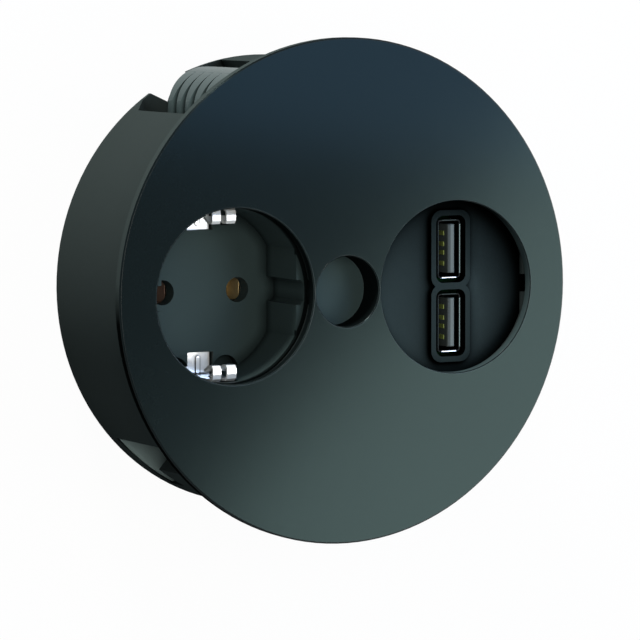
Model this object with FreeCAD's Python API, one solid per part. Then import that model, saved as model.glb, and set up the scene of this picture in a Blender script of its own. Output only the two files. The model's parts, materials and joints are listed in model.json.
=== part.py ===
"""Recessed round desk socket with a swivel cover, in millimetres.

Z = 0 is the desk surface and +Z points up out of the desk, towards the user.
+X runs from the mains socket to the USB sockets, and the axis of the cover is
the Z axis. Below the desk the moulded housing holds the two inserts, and two
ribbed eccentric cams clamp it in the round cut-out.
"""
import FreeCAD
import Part
import math
import os

V = FreeCAD.Vector

# The two wells, the finger recess between them and the openings of the cover
opening_r = 19.8
finger_r = 8.1
web_t = 0.6               # cover left between the finger recess and an opening
rim_lap = 1.6             # how far the rims of the inserts reach past the openings
face_drop = 3.4           # from the top of the cover down to the inserts
finger_depth = 7.2
cup_wall = 0.55
cup_floor = 1.4
cup_clear = 0.3
edge_chamfer = 0.25
well_offset = opening_r + finger_r + web_t
rim_r = opening_r + rim_lap
rim_clear = 0.2

# Housing round the wells, its flange and the cover on top
rim_room = 0.7            # between the rim of an insert and the wall
wall_t = 2.2
inner_r = well_offset + rim_r + rim_room
side_r = inner_r + wall_t
collar_h = 4.8
collar_step = 0.55
body_r = side_r + collar_step      # collar that locates in the cut-out of the desk
body_depth = 39.0
flange_reach = 2.95
flange_r = body_r + flange_reach
flange_t = 1.2
deck_t = 2.6
cover_overhang = 1.2
cover_r = flange_r + cover_overhang
cover_t = 2.2
cover_chamfer = 0.35
cover_gap = 0.3           # running gap between cover and deck
rear_t = 2.4
lid_clear = 0.3           # between the rear cover and the walls round it
skin_t = 1.6              # inner walls of the clamp pockets and cable recess

# Pivot of the cover
pivot_r = 4.5
pivot_fit = 0.05          # radial running clearance of shafts in their bores
pivot_length = 8.1        # below the floor of the cup
bush_r = 6.0
bush_flange_r = 7.4
bush_flange_t = 1.0
hub_r = 10.4
hub_depth = 11.0
keeper_r = 7.8
keeper_t = 1.0
pivot_screw_r = 1.6
pivot_head_r = 3.2
pivot_head_h = 2.0

# Glide ring under the rim of the cover
glide_r = body_r + 0.05
glide_w = 2.2
glide_t = 0.7
glide_gap = 0.1

# Screw ears of the inserts and their screws
small_head_r = 2.3
ear_gap = 0.6             # between the rim and the heads of the ear screws
ear_reach = rim_r + small_head_r + ear_gap
ear_angle = 70.0
ear_r = 3.2
ear_t = 2.5
ear_drop = 4.2            # underside of the bosses that the ears meet
small_screw_r = 1.25
small_head_h = 1.8
slot_w = 0.8              # driver slot of every screw
slot_depth = 0.8

# Mains well, for a round plug with side earth contacts
well_r = opening_r - 0.1
well_flat = 17.05         # half the width across the two flats
well_depth = 14.5         # from the face of the insert to the floor
floor_t = 3.8
key_w = 5.7
key_depth = 1.85
key_chamfer = 0.8
pin_pitch = 19.0
pin_hole_r = 2.85
side_pocket_r = 3.3       # round pockets beside the earth contacts
side_pocket_x = 6.4
side_pocket_y = well_r - 1.6
side_pocket_depth = 2.2

# Earth bracket: strip under the floor, two legs with forked noses
earth_w = 5.9
earth_t = 0.6
earth_window = 13.9       # inner end of the windows in the floor
earth_skin = 1.3          # floor left above the strip
earth_leg = well_r - 0.4  # distance of the legs from the centre
earth_nose = 3.4          # reach of the noses inwards from the legs
earth_slit = 1.5
earth_slit_x = -0.1
nose_drop = 5.8           # below the top of the cover
earth_room = 0.25         # between the legs and the wall behind them

# Contacts, their carrier and the terminals
leaf_throat = 1.3         # between the spring leaves at rest
leaf_flare = 5.9          # between their upper ends
leaf_base = 4.4
leaf_t = 0.6
leaf_w = 5.4
leaf_drop = 0.75          # upper ends below the floor
contact_depth = 9.4
carrier_r = rim_r - 2.0
carrier_t = 3.0
carrier_wall = 1.5
post_r = 2.8
post_clear = 0.4          # between the posts and the wall of the carrier
post_ring = carrier_r - carrier_wall - post_r - post_clear
post_angles = (35.3, 144.7, 270.0)
door_half = 13.0          # opening in the side of the carrier
door_reach = 6.0
door_h = 5.5
terminal_y = 9.5
terminal_r = 1.6
terminal_head_r = 2.8
terminal_head_h = 2.0

# USB insert: flat key in the deck, raised frame and two upright sockets
usb_key_flat = 19.0
usb_key_w = 4.1
usb_key_depth = 2.1
usb_plate_t = 2.0
frame_w = 10.3
frame_h = 18.0
frame_rise = 0.8
frame_corner = 2.6
port_pitch = 17.05
port_w = 7.8
port_h = 15.5
port_corner = 1.9
shell_w = 5.9
shell_h = 13.4
shell_corner = 0.7
shell_t = 0.3
shell_recess = 0.9        # below the top of the raised frame
tongue_w = 1.84
tongue_h = 11.3
tongue_offset = 0.95
tongue_recess = 0.6
gold_w = 1.0
gold_t = 0.12
gold_start = 1.7
gold_pitches = (-3.5, -1.0, 1.0, 3.5)

# Circuit board of the USB supply, placed from the centre of its well
board_x = (-16.0, 15.5)
board_half = 18.4
board_t = 1.6
board_drop = 15.4
board_post_r = 2.6
board_posts = ((11.7, 14.4), (-12.1, -15.0))
core_place = (3.1, 4.4)
core_size = (16.0, 13.0, 12.6)
input_can = (-10.1, 4.0, 4.2, 14.0)
output_cans = ((3.0, -9.5, 3.2, 11.0), (10.3, -9.5, 3.2, 11.0))
chip_place = (-4.9, -9.6)
chip_size = (6.0, 4.0, 1.65)
chip_pitch = 1.27
chip_leg = (0.44, 6.0, 0.6)

# Clamping cams and the pockets that they turn in
cam_angle = 110.6         # of the first cam, the second is opposite
cam_r = 10.7
cam_seat = side_r - cam_r + 0.15   # from the axis of the cover to the centre of a cam
cam_throw = 3.0           # between the centre of a cam and its spindle
cam_clear = 0.6
cam_end_gap = 0.3
pocket_top = 5.0
pocket_floor = 1.1
mouth_left = 17.5
mouth_right = 8.1
mouth_depth = 12.3
mouth_floor = side_r - mouth_depth
window_lip = 11.8         # left end of the opening in the pocket floor
window_end = 1.0
gusset = 3.5
lug_r = 9.6
rib_pitch = 4.35
rib_count = 7
rib_depth = 2.0
rib_drop = 0.1            # crests of the ribs below the round of the cam
rib_shift = 3.0           # axis of the ribs beside the centre of the cam
rib_turn = -98.0          # direction of that shift from the line through the spindle
spindle_r = 2.5
spindle_tip_r = 1.8
spindle_tip_h = 1.3
spindle_head_r = 3.9
spindle_head_h = 1.7
spindle_head_drop = 0.3

# Cable recess in the side of the housing
recess_angle = 227.2
recess_half = 5.15
recess_depth = 12.4
recess_top = 12.0
recess_base = 4.0         # from the back edge of the housing up to the floor
recess_floor = body_depth - recess_base
slot_h = 6.3
recess_slot = recess_floor - slot_h    # underside of the bridge over the side slot
recess_run = 13.0
plate_t = 0.6             # light sheet plate on the floor of the recess
plate_clear = 0.1
inlet_z = 23.0
inlet_r = 4.9
grommet_bore_r = 4.0
grommet_lip = 1.0

# Screw posts and rear cover screws
rear_post_seat = inner_r - 5.0
rear_post_angles = (30.0, 150.0, 210.0, 330.0)
rear_post_r = 3.0
rear_screw_r = 1.4
rear_head_r = 2.7
rear_head_h = 1.5

# Levels that follow from the sizes above
deck_top = flange_t
cover_under = deck_top + cover_gap
cover_top = cover_under + cover_t
face_z = cover_top - face_drop
cup_z = cover_top - finger_depth
cup_under = cup_z - cup_floor
cup_r = finger_r + cup_wall
hub_bore_r = cup_r + cup_clear
pivot_end = cup_under - pivot_length
bush_seat = cup_under - pivot_fit - bush_flange_t
rear_z = -body_depth
lid_z = rear_z + rear_t
floor_z = face_z - well_depth
floor_under = floor_z - floor_t
strip_z = floor_z - earth_skin
contact_z = floor_under - contact_depth
carrier_z = contact_z - carrier_t
board_top = -board_drop
board_under = board_top - board_t
frame_z = face_z + frame_rise
shell_z = frame_z - shell_recess
cam_low = rear_z + pocket_floor + cam_end_gap
cam_high = -pocket_top - cam_end_gap


def cylinder(x, y, r, z0, z1):
    """Upright cylinder between two levels."""
    return Part.makeCylinder(r, z1 - z0, V(x, y, z0))


def block(x0, x1, y0, y1, z0, z1):
    """Box between three pairs of planes."""
    return Part.makeBox(x1 - x0, y1 - y0, z1 - z0, V(x0, y0, z0))


def pipe(x, y, r_in, r_out, z0, z1):
    """Upright ring."""
    return cylinder(x, y, r_out, z0, z1).cut(cylinder(x, y, r_in, z0, z1))


def fused(shapes):
    """One solid from several that touch or overlap, without split faces."""
    first, rest = shapes[0], shapes[1:]
    return (first.fuse(rest) if rest else first).removeSplitter()


def turned(shape, angle, x=0.0, y=0.0):
    """Copy of a shape turned about an upright axis."""
    copy = shape.copy()
    copy.rotate(V(x, y, 0), V(0, 0, 1), angle)
    return copy


def polar(r, angle):
    """Point at a radius and an angle in degrees from +X."""
    a = math.radians(angle)
    return r * math.cos(a), r * math.sin(a)


def revolved(points, x=0.0, y=0.0):
    """Solid of revolution about an upright axis from (radius, z) corners."""
    corners = [V(x + r, y, z) for r, z in points]
    face = Part.Face(Part.makePolygon(corners + corners[:1]))
    return face.revolve(V(x, y, 0), V(0, 0, 1), 360)


def rounded_block(x, y, w, h, corner, z0, z1):
    """Upright block with rounded vertical edges, centred on x, y."""
    body = block(x - w / 2, x + w / 2, y - h / 2, y + h / 2, z0, z1)
    upright = [e for e in body.Edges if abs(e.BoundBox.ZLength - (z1 - z0)) < 1e-6]
    return body.makeFillet(corner, upright)


def bent_strip(points, thickness, direction, width):
    """Sheet metal: a bent centre line thickened and pushed along its width."""
    line = [V(*p) for p in points]
    across = V(*direction)
    normals = [(b - a).normalize().cross(across) for a, b in zip(line, line[1:])]
    left, right = [], []
    for i, point in enumerate(line):
        before, after = normals[max(i - 1, 0)], normals[min(i, len(normals) - 1)]
        mitre = (before + after) * (thickness / 2 / (1 + before.dot(after)))
        left.append(point + mitre)
        right.append(point - mitre)
    outline = left + right[::-1]
    face = Part.Face(Part.makePolygon(outline + outline[:1]))
    return face.extrude(across * width).translated(across * (-width / 2))


def slotted_screw(x, y, z_head, up, head_r, head_h, shank_r, shank_l):
    """Screw with a driver slot. up is +1 where the head faces +Z, else -1."""
    z_top = z_head + up * head_h
    z_end = z_head - up * shank_l
    head = cylinder(x, y, head_r, min(z_head, z_top), max(z_head, z_top))
    shank = cylinder(x, y, shank_r, min(z_head, z_end), max(z_head, z_end))
    slot_end = z_top - up * slot_depth
    slot = block(x - head_r - 1, x + head_r + 1, y - slot_w / 2, y + slot_w / 2,
                 min(z_top, slot_end), max(z_top, slot_end))
    return fused([head, shank]).cut(slot)


def ear_points(side):
    """Places of the two ear screws of the insert on one side (-1 or +1)."""
    reach_x, reach_y = polar(ear_reach, ear_angle)
    x = side * (well_offset - reach_x)
    return (x, reach_y), (x, -reach_y)


def cam_centre():
    """Centre of the first cam at rest."""
    return polar(cam_seat, cam_angle)


def cam_pivot():
    """Spindle axis of the first cam, further out than its centre."""
    return polar(cam_seat + cam_throw, cam_angle)


def opposite(shape):
    """The same piece on the other side of the housing."""
    return turned(shape, 180)


# Cover

def swivel_cover():
    """Flat cover with two openings, a finger cup and the pivot below it."""
    disc = cylinder(0, 0, cover_r, cover_under, cover_top)
    cup = cylinder(0, 0, cup_r, cup_under, cover_under)
    pivot = cylinder(0, 0, pivot_r, pivot_end, cup_under)
    body = fused([disc, cup, pivot])
    body = body.cut(cylinder(0, 0, finger_r, cup_z, cover_top))
    for side in (-1, 1):
        body = body.cut(cylinder(side * well_offset, 0, opening_r, cover_under, cover_top))
    body = body.cut(cylinder(0, 0, pivot_screw_r, pivot_end, cup_under - cup_floor / 2))
    rims = [e for e in body.Edges
            if abs(e.BoundBox.ZMin - cover_top) < 1e-6 and abs(e.BoundBox.ZMax - cover_top) < 1e-6]
    outer = [e for e in rims if e.Curve.Radius > opening_r + 1]
    inner = [e for e in rims if e.Curve.Radius < opening_r + 1]
    return body.makeChamfer(cover_chamfer, outer).makeChamfer(edge_chamfer, inner)


def pivot_bush():
    """Flanged bush in which the pivot of the cover turns."""
    bore_r = pivot_r + pivot_fit
    top = bush_seat + bush_flange_t
    return revolved([(bore_r, -hub_depth - 0.4), (bush_r, -hub_depth - 0.4), (bush_r, bush_seat),
                     (bush_flange_r, bush_seat), (bush_flange_r, top), (bore_r, top)])


def pivot_spring():
    """Dished spring washer that takes up the play of the cover."""
    low, high = pivot_end + 0.05, -hub_depth - 0.45
    inner, outer, t = pivot_r + 0.3, keeper_r - 0.4, 0.35
    return revolved([(inner, high - t), (inner, high), (inner + 0.4, high),
                     (outer, low + t), (outer, low), (outer - 0.4, low)])


def pivot_keeper():
    """Plain washer that keeps the cover in the housing."""
    return pipe(0, 0, pivot_screw_r + 0.2, keeper_r, pivot_end - keeper_t, pivot_end)


def pivot_screw():
    """Screw up into the pivot."""
    return slotted_screw(0, 0, pivot_end - keeper_t, -1, pivot_head_r, pivot_head_h,
                         pivot_screw_r, keeper_t + pivot_length - 1.0)


def glide_ring():
    """Thin slip ring in a groove of the deck, under the rim of the cover."""
    top = cover_under - glide_gap
    return pipe(0, 0, glide_r - glide_w / 2, glide_r + glide_w / 2, top - glide_t, top)


# Clamping cams

def pocket(extra, z0, z1):
    """Room that a cam needs, grown by extra, with its mouth in the side wall."""
    r = cam_r + cam_clear + extra
    seat, axis = cam_seat, cam_seat + cam_throw
    turned_seat = (axis, cam_throw)
    parts = [cylinder(seat, 0, r, z0, z1),
             cylinder(turned_seat[0], turned_seat[1], r, z0, z1),
             cylinder(axis, 0, r + cam_throw, z0, z1).common(
                 block(0, axis, 0, body_r, z0, z1)),
             block(mouth_floor - extra, body_r + 2, -mouth_right - extra,
                   mouth_left + extra, z0, z1)]
    return turned(fused(parts), cam_angle)


def pocket_window():
    """Part of the pocket floor that is cut away outside the cam's lug."""
    z0, z1 = rear_z, rear_z + pocket_floor
    edge = side_r - 1.0
    corners = [V(body_r + 2, window_end, z0), V(body_r + 2, window_lip, z0), V(edge, window_lip, z0),
               V(edge + window_end - window_lip, window_end, z0)]
    opening = Part.Face(Part.makePolygon(corners + corners[:1])).extrude(V(0, 0, z1 - z0))
    return turned(opening.cut(cylinder(cam_seat, 0, lug_r, z0, z1)), cam_angle)


def pocket_gusset():
    """Sloping corner between the left wall of the mouth and its floor."""
    z0 = rear_z + pocket_floor
    corners = [V(mouth_floor, mouth_left, z0), V(mouth_floor, mouth_left - gusset, z0),
               V(mouth_floor, mouth_left, z0 + gusset)]
    wedge = Part.Face(Part.makePolygon(corners + corners[:1])).extrude(V(body_r - mouth_floor, 0, 0))
    return turned(wedge, cam_angle).common(cylinder(0, 0, side_r, z0, 0))


def rib_cutter(x, y):
    """Ring whose inner side is scalloped, so that rounded ribs stay standing."""
    root = cam_r + rib_shift - rib_drop - rib_depth
    reach = cam_r + rib_shift + 2
    edges = []
    for i in range(rib_count):
        z0 = cam_low + i * rib_pitch
        a, b = V(x + root, y, z0), V(x + root, y, z0 + rib_pitch)
        edges.append(Part.Arc(a, V(x + root + rib_depth, y, z0 + rib_pitch / 2), b).toShape())
    top = cam_low + rib_count * rib_pitch
    edges.append(Part.makePolygon([V(x + root, y, top), V(x + reach, y, top),
                                   V(x + reach, y, cam_low), V(x + root, y, cam_low)]))
    face = Part.Face(Part.Wire([e for s in edges for e in s.Edges]))
    return face.revolve(V(x, y, 0), V(0, 0, 1), 360)


def clamp_cam():
    """Eccentric cam: smooth side out at rest, ribbed side out when turned."""
    x, y = cam_centre()
    along_x, along_y = polar(rib_shift, cam_angle + rib_turn)
    body = cylinder(x, y, cam_r, cam_low, cam_high)
    body = body.cut(rib_cutter(x + along_x, y + along_y))
    px, py = cam_pivot()
    return body.cut(cylinder(px, py, spindle_r, cam_low, cam_high))


def cam_spindle():
    """Slotted spindle that is fast in the cam and turns in the housing."""
    x, y = cam_pivot()
    head_top = deck_top - spindle_head_drop
    head_under = head_top - spindle_head_h
    tip_top = cam_low
    body = slotted_screw(x, y, head_under, 1, spindle_head_r, spindle_head_h,
                         spindle_r, head_under - tip_top)
    return fused([body, cylinder(x, y, spindle_tip_r, tip_top - spindle_tip_h, tip_top)])


# Housing

def recess(extra, z0):
    """Cable recess grown by extra, down to z0: an upright notch and a slot beside it."""
    z1 = -recess_top + extra
    n0 = side_r - recess_depth - extra
    notch = block(n0, body_r + 2, -recess_half - extra, recess_half + extra, z0, z1)
    slot = block(n0, body_r + 2, recess_half - 1, recess_run + extra, z0, -recess_slot + extra)
    return turned(fused([notch, slot]), recess_angle)


def recess_plate():
    """Sheet plate on the floor of the recess, flush with the rest of that floor."""
    z0, z1 = -recess_floor - plate_t, -recess_floor
    n0, gap = side_r - recess_depth + plate_clear, plate_clear
    body = block(n0, body_r, gap - recess_half, recess_run - gap, z0, z1)
    return turned(body, recess_angle).common(cylinder(0, 0, side_r - 0.5, z0, z1))


def inlet_hole(r, n0, n1):
    """Cylinder along the axis of the cable inlet between two distances."""
    x, y = polar(n0, recess_angle)
    dx, dy = polar(1.0, recess_angle)
    return Part.makeCylinder(r, n1 - n0, V(x, y, -inlet_z), V(dx, dy, 0))


def insert_opening(side):
    """Opening of the deck over an insert, with the seat for its rim."""
    x = side * well_offset
    lip = cylinder(x, 0, opening_r + 0.4, face_z, deck_top)
    if side > 0:
        key_x = x + usb_key_flat
        lip = lip.cut(block(key_x, key_x + 5, -opening_r, opening_r, face_z, deck_top))
        lip = lip.fuse(block(key_x - 1, key_x + usb_key_depth, -usb_key_w / 2, usb_key_w / 2,
                             face_z, deck_top))
    return lip.fuse(cylinder(x, 0, rim_r + rim_clear, -deck_top - hub_depth, face_z))


def hub():
    """Boss under the deck for the bush, open beside the inserts."""
    return cylinder(0, 0, hub_r, -hub_depth, deck_top)


def rear_posts(r, z0, z1):
    """Four upright cylinders on the places of the rear cover screws."""
    return [cylinder(*polar(rear_post_seat, a), r, z0, z1) for a in rear_post_angles]


def housing():
    """Moulded housing with flange, deck, clamp pockets and cable recess."""
    deck_under = deck_top - deck_t
    shell = [cylinder(0, 0, flange_r, 0, flange_t),
             pipe(0, 0, inner_r, side_r, rear_z, flange_t),
             pipe(0, 0, inner_r, body_r, -collar_h, flange_t),
             cylinder(0, 0, body_r, deck_under, flange_t),
             hub()]
    envelope = cylinder(0, 0, side_r, rear_z, deck_under)
    skins = [pocket(skin_t, rear_z, deck_under), recess(skin_t, lid_z)]
    skins.append(opposite(skins[0]))
    shell += [s.common(envelope) for s in skins]
    shell += rear_posts(rear_post_r, lid_z, deck_under)
    for side in (-1, 1):
        shell += [cylinder(x, y, ear_r, -ear_drop, deck_under) for x, y in ear_points(side)]
    body = fused(shell)

    room = pocket(0, rear_z + pocket_floor, -pocket_top)
    px, py = cam_pivot()
    head_seat = deck_top - spindle_head_drop - spindle_head_h
    clamp_cuts = [room, pocket_window(),
                  cylinder(px, py, spindle_r + pivot_fit, -pocket_top, head_seat),
                  cylinder(px, py, spindle_head_r + 0.3, head_seat, deck_top),
                  cylinder(px, py, spindle_tip_r + pivot_fit, rear_z, rear_z + pocket_floor)]
    cuts = clamp_cuts + [opposite(c) for c in clamp_cuts]
    cuts += [insert_opening(-1), insert_opening(1), recess(0, -recess_floor - plate_t),
             cylinder(0, 0, hub_bore_r, bush_seat, deck_top),
             cylinder(0, 0, bush_r, -hub_depth, bush_seat),
             inlet_hole(inlet_r, side_r - recess_depth - skin_t - 1, side_r - recess_depth + 1),
             pipe(0, 0, glide_r - glide_w / 2, glide_r + glide_w / 2,
                  cover_under - glide_gap - glide_t, deck_top)]
    cuts += rear_posts(rear_screw_r - 0.1, lid_z, lid_z + 12)
    for side in (-1, 1):
        cuts += [cylinder(x, y, small_screw_r, -ear_drop, deck_under + 1)
                 for x, y in ear_points(side)]
    body = body.cut(cuts)
    return fused([body, pocket_gusset(), opposite(pocket_gusset())])


def cable_grommet():
    """Rubber grommet with a lip on each side of the inlet's wall."""
    wall_in, wall_out = side_r - recess_depth - skin_t, side_r - recess_depth
    body = fused([inlet_hole(inlet_r, wall_in, wall_out),
                  inlet_hole(inlet_r + grommet_lip, wall_in - grommet_lip, wall_in),
                  inlet_hole(inlet_r + grommet_lip * 0.2, wall_out, wall_out + grommet_lip)])
    return body.cut(inlet_hole(grommet_bore_r, wall_in - 5, wall_out + 5))


def rear_cover():
    """Plate that closes the back of the housing."""
    plate = cylinder(0, 0, inner_r - lid_clear, rear_z, lid_z)
    side = pocket(skin_t + lid_clear, rear_z, lid_z)
    plate = plate.cut([side, opposite(side)])
    holes = rear_posts(rear_screw_r + 0.3, rear_z, lid_z)
    sinks = [revolved([(0, rear_z), (rear_head_r, rear_z), (rear_screw_r, rear_z + rear_head_h),
                       (0, rear_z + rear_head_h)], *polar(rear_post_seat, a))
             for a in rear_post_angles]
    return plate.cut(holes + sinks)


def rear_screws():
    """Four countersunk screws, flush with the rear cover."""
    screws = []
    for a in rear_post_angles:
        x, y = polar(rear_post_seat, a)
        body = revolved([(0, rear_z), (rear_head_r, rear_z), (rear_screw_r, rear_z + rear_head_h),
                         (rear_screw_r - 0.1, rear_z + rear_head_h), (rear_screw_r - 0.1, lid_z + 9),
                         (0, lid_z + 9)], x, y)
        slot = block(x - rear_head_r, x + rear_head_r, y - slot_w / 2, y + slot_w / 2,
                     rear_z, rear_z + slot_depth)
        screws.append(body.cut(slot))
    return Part.makeCompound(screws)


# Inserts

def ears(side):
    """Two screw ears that reach out from the rim of an insert."""
    x = side * well_offset
    parts = []
    for ex, ey in ear_points(side):
        tongue = block(0, ear_reach, -ear_r, ear_r, -ear_drop - ear_t, -ear_drop)
        angle = math.degrees(math.atan2(ey, ex - x))
        tongue = turned(tongue, angle).translated(V(x, 0, 0))
        parts += [tongue, cylinder(ex, ey, ear_r, -ear_drop - ear_t, -ear_drop)]
    return parts


def ear_holes(side):
    """Clearance holes of the ear screws."""
    return [cylinder(x, y, small_screw_r + 0.2, -ear_drop - ear_t, -ear_drop)
            for x, y in ear_points(side)]


def insert_screws():
    """Four screws that hold the two inserts under the deck."""
    places = ear_points(-1) + ear_points(1)
    return Part.makeCompound([
        slotted_screw(x, y, -ear_drop - ear_t, -1, small_head_r, small_head_h,
                      small_screw_r, ear_t + ear_drop - deck_t + deck_top)
        for x, y in places])


def well_room():
    """Inside of the mains well: a circle with two flats and their key slots."""
    z0, z1 = floor_z, face_z
    room = cylinder(0, 0, well_r, z0, z1).common(
        block(-well_flat, well_flat, -well_r, well_r, z0, z1))
    half, far = key_w / 2, well_flat + key_depth
    for side in (-1, 1):
        corners = [V(0, -half, z0), V(side * (far - key_chamfer), -half, z0),
                   V(side * far, -half + key_chamfer, z0), V(side * far, half - key_chamfer, z0),
                   V(side * (far - key_chamfer), half, z0), V(0, half, z0)]
        room = room.fuse(Part.Face(Part.makePolygon(corners + corners[:1])).extrude(V(0, 0, z1 - z0)))
    return room


def socket_insert():
    """Moulded mains insert with its well, pin holes and earth windows."""
    body = cylinder(0, 0, rim_r, floor_under, face_z).cut(well_room())
    cuts = [cylinder(side * pin_pitch / 2, 0, pin_hole_r, floor_under, floor_z) for side in (-1, 1)]
    half = earth_w / 2 + 0.3
    outside = earth_leg + earth_t / 2 + earth_room
    cuts.append(block(-half, half, -outside, outside, floor_under, strip_z))
    for side in (-1, 1):
        y0, y1 = sorted((side * earth_window, side * outside))
        cuts.append(block(-half, half, y0, y1, strip_z - 1, face_z - 2))
        for across in (-1, 1):
            cuts.append(cylinder(across * side_pocket_x, side * side_pocket_y, side_pocket_r,
                                 floor_z - side_pocket_depth, floor_z).common(
                                     cylinder(0, 0, well_r, floor_under, floor_z)))
    body = body.cut(cuts).translated(V(-well_offset, 0, 0))
    body = fused([body] + [e.cut(cylinder(-well_offset, 0, rim_r - 0.5, -30, 10)) for e in ears(-1)])
    body = fused([body] + carrier_posts())
    return body.cut(ear_holes(-1) + [cylinder(0, 0, hub_bore_r, rear_z, deck_top)]
                    + carrier_post_holes())


def post_places():
    """Places of the three posts and their screws."""
    return [(x - well_offset, y) for x, y in (polar(post_ring, a) for a in post_angles)]


def carrier_posts():
    """Posts under the floor of the mains insert."""
    return [cylinder(x, y, post_r, contact_z, floor_under) for x, y in post_places()]


def carrier_post_holes():
    """Pilot holes of the carrier screws."""
    return [cylinder(x, y, small_screw_r, contact_z, floor_under - 2)
            for x, y in post_places()]


def earth_bracket():
    """Earth strip with two legs, each forked into two rounded noses."""
    z_mid = strip_z - earth_t / 2
    top, tip = cover_top - nose_drop, earth_leg - earth_nose
    side_line = [(earth_leg, z_mid), (earth_leg, top - 1.3), (earth_leg - 0.5, top - 0.5),
                 (earth_leg - 1.4, top - 0.3), (tip + 0.9, top - 0.3), (tip + 0.35, top - 0.75),
                 (tip + 0.3, top - 2.2), (tip + 1.4, top - 4.4)]
    parts = [bent_strip([(0, -earth_leg, z_mid), (0, earth_leg, z_mid)], earth_t, (1, 0, 0), earth_w)]
    for side in (-1, 1):
        line = [(0, side * y, z) for y, z in side_line]
        parts.append(bent_strip(line, earth_t, (1, 0, 0), earth_w))
        parts.append(rounded_block(earth_slit_x, side * (earth_window + 3.0), 0.9, 4.0, 0.4,
                                   strip_z - 0.1, strip_z + 0.25))
    inner = terminal_y - 2.6
    drop = bent_strip([(0, inner, z_mid), (0, inner, contact_z + leaf_t / 2),
                       (0, terminal_y + 3.0, contact_z + leaf_t / 2)], leaf_t, (1, 0, 0), leaf_w)
    body = fused(parts + [drop])
    slits = [block(earth_slit_x - earth_slit / 2, earth_slit_x + earth_slit / 2,
                   *sorted((side * 10, side * 25)), strip_z + 4.5, face_z) for side in (-1, 1)]
    body = body.cut(slits + [cylinder(0, terminal_y, terminal_r, contact_z, contact_z + leaf_t)])
    return body.translated(V(-well_offset, 0, 0))


def pin_contact(side):
    """Brass contact: two flared spring leaves that take the pin, and a terminal tab."""
    x = side * pin_pitch / 2
    low, high = contact_z + leaf_t / 2, floor_under - leaf_drop
    half, throat, flare = leaf_base / 2, (leaf_throat + leaf_t) / 2, leaf_flare / 2
    leaves = bent_strip([(x - flare, 0, high), (x - throat, 0, high - 2.2),
                         (x - throat, 0, high - 3.4), (x - half, 0, low), (x + half, 0, low),
                         (x + throat, 0, high - 3.4), (x + throat, 0, high - 2.2),
                         (x + flare, 0, high)], leaf_t, (0, 1, 0), leaf_w)
    tab = block(x - leaf_w / 2, x + leaf_w / 2, -terminal_y - 3, 0, contact_z, contact_z + leaf_t)
    body = fused([leaves, tab])
    hole = cylinder(x, -terminal_y, terminal_r, contact_z, contact_z + leaf_t)
    return body.cut(hole).translated(V(-well_offset, 0, 0))


def terminal_places():
    """Places of the line, neutral and earth terminal screws."""
    x = pin_pitch / 2
    return [(-well_offset - x, -terminal_y), (-well_offset + x, -terminal_y),
            (-well_offset, terminal_y)]


def contact_carrier():
    """Cup behind the mains insert that carries the contacts."""
    x = -well_offset
    cup = cylinder(x, 0, carrier_r, carrier_z, floor_under)
    cup = cup.cut(cylinder(x, 0, carrier_r - carrier_wall, contact_z, floor_under))
    side_door = block(x - door_half, x + door_half, -carrier_r - 1, -carrier_r + door_reach,
                      contact_z, contact_z + door_h)
    holes = [cylinder(px, py, terminal_r + 0.2, carrier_z, contact_z) for px, py in terminal_places()]
    holes += [cylinder(px, py, small_screw_r + 0.2, carrier_z, contact_z)
              for px, py in post_places()]
    return cup.cut([side_door] + holes)


def carrier_screws():
    """Three screws up into the posts of the mains insert."""
    return Part.makeCompound([
        slotted_screw(x, y, carrier_z, -1, small_head_r, small_head_h, small_screw_r, carrier_t + 6)
        for x, y in post_places()])


def terminal_screws():
    """Three terminal screws up through the carrier into the contact tabs."""
    return Part.makeCompound([
        slotted_screw(x, y, carrier_z, -1, terminal_head_r, terminal_head_h, terminal_r,
                      carrier_t + leaf_t + 1.2)
        for x, y in terminal_places()])


def usb_port_places():
    """Centres of the two USB sockets."""
    return (well_offset, port_pitch / 2), (well_offset, -port_pitch / 2)


def usb_insert():
    """Face plate with the raised frame round both USB sockets."""
    x = well_offset
    plate = cylinder(x, 0, rim_r, face_z - usb_plate_t, face_z)
    frames = [rounded_block(px, py, frame_w, frame_h, frame_corner, face_z - usb_plate_t, frame_z)
              for px, py in usb_port_places()]
    skirt = block(x - 8, x + 8, -ear_reach, ear_reach, -ear_drop - ear_t, face_z - usb_plate_t)
    skirt = skirt.cut(block(x - 6.4, x + 6.4, -ear_reach, ear_reach, -ear_drop - ear_t,
                            face_z - usb_plate_t))
    posts = [cylinder(x + px, py, board_post_r, board_top, face_z - usb_plate_t)
             for px, py in board_posts]
    skirt = skirt.common(cylinder(x, 0, rim_r, -ear_drop - ear_t, face_z))
    reach = [e.cut(block(x - 6.4, x + 6.4, -30, 30, -30, 10)) for e in ears(1)]
    body = fused([plate] + frames + [skirt] + posts + reach)
    cuts = [rounded_block(px, py, port_w, port_h, port_corner, face_z - usb_plate_t, frame_z)
            for px, py in usb_port_places()]
    cuts += [cylinder(x + px, py, small_screw_r, board_top, board_top + 9)
             for px, py in board_posts]
    cuts += ear_holes(1) + [cylinder(0, 0, hub_bore_r, rear_z, deck_top)]
    return body.cut(cuts)


def usb_shell(x, y):
    """Folded metal shell of one USB socket, open to the front."""
    outer = rounded_block(x, y, shell_w, shell_h, shell_corner, board_top, shell_z)
    inner = rounded_block(x, y, shell_w - 2 * shell_t, shell_h - 2 * shell_t,
                          shell_corner - shell_t, board_top + 1.2, shell_z)
    return outer.cut(inner)


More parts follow.
